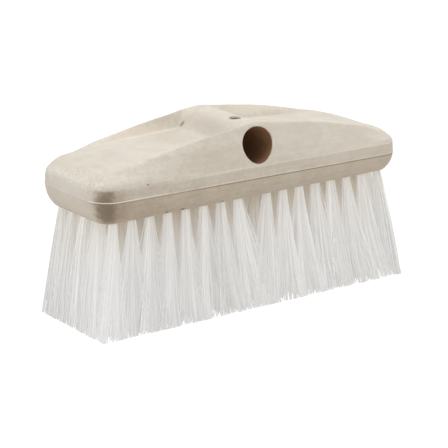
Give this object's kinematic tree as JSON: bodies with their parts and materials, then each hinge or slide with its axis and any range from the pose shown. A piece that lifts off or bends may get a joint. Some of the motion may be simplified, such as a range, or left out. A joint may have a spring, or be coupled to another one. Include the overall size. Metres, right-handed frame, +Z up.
{
  "type": "deck brush head",
  "caption": "Long moulded block brush head with stiff straight bristle tufts, an arched top with recessed panels and a slanted side socket for a push-in handle.",
  "frame": {"origin": "centre of the bounding box at the bristle tips' plane", "axes": "+Z up from the tips to the block's crest, +X along the block's length, -Y on the side where the handle socket opens"},
  "size_m": [0.262, 0.0808, 0.1301],
  "materials": {
    "block_plastic": "matte moulded foam plastic, faintly mottled",
    "bristle_filament": "fine straight synthetic filament, trimmed flat"
  },
  "bodies": {
    "root": {"block": "block_plastic", "tufts_r1_p1": "bristle_filament", "tufts_r1_p2": "bristle_filament", "tufts_r1_p3": "bristle_filament", "tufts_r1_p4": "bristle_filament", "tufts_r1_p5": "bristle_filament", "tufts_r1_p6": "bristle_filament", "tufts_r1_p7": "bristle_filament", "tufts_r1_p8": "bristle_filament", "tufts_r2_p1": "bristle_filament", "tufts_r2_p2": "bristle_filament", "tufts_r2_p3": "bristle_filament", "tufts_r2_p4": "bristle_filament", "tufts_r2_p5": "bristle_filament", "tufts_r2_p6": "bristle_filament", "tufts_r2_p7": "bristle_filament", "tufts_r2_p8": "bristle_filament", "tufts_r3_p1": "bristle_filament", "tufts_r3_p2": "bristle_filament", "tufts_r3_p3": "bristle_filament", "tufts_r3_p4": "bristle_filament", "tufts_r3_p5": "bristle_filament", "tufts_r3_p6": "bristle_filament", "tufts_r3_p7": "bristle_filament", "tufts_r3_p8": "bristle_filament", "tufts_r4_p1": "bristle_filament", "tufts_r4_p2": "bristle_filament", "tufts_r4_p3": "bristle_filament", "tufts_r4_p4": "bristle_filament", "tufts_r4_p5": "bristle_filament", "tufts_r4_p6": "bristle_filament", "tufts_r4_p7": "bristle_filament", "tufts_r4_p8": "bristle_filament", "tufts_r5_p1": "bristle_filament", "tufts_r5_p2": "bristle_filament", "tufts_r5_p3": "bristle_filament", "tufts_r5_p4": "bristle_filament", "tufts_r5_p5": "bristle_filament", "tufts_r5_p6": "bristle_filament", "tufts_r5_p7": "bristle_filament", "tufts_r5_p8": "bristle_filament"}
  },
  "joints": []
}
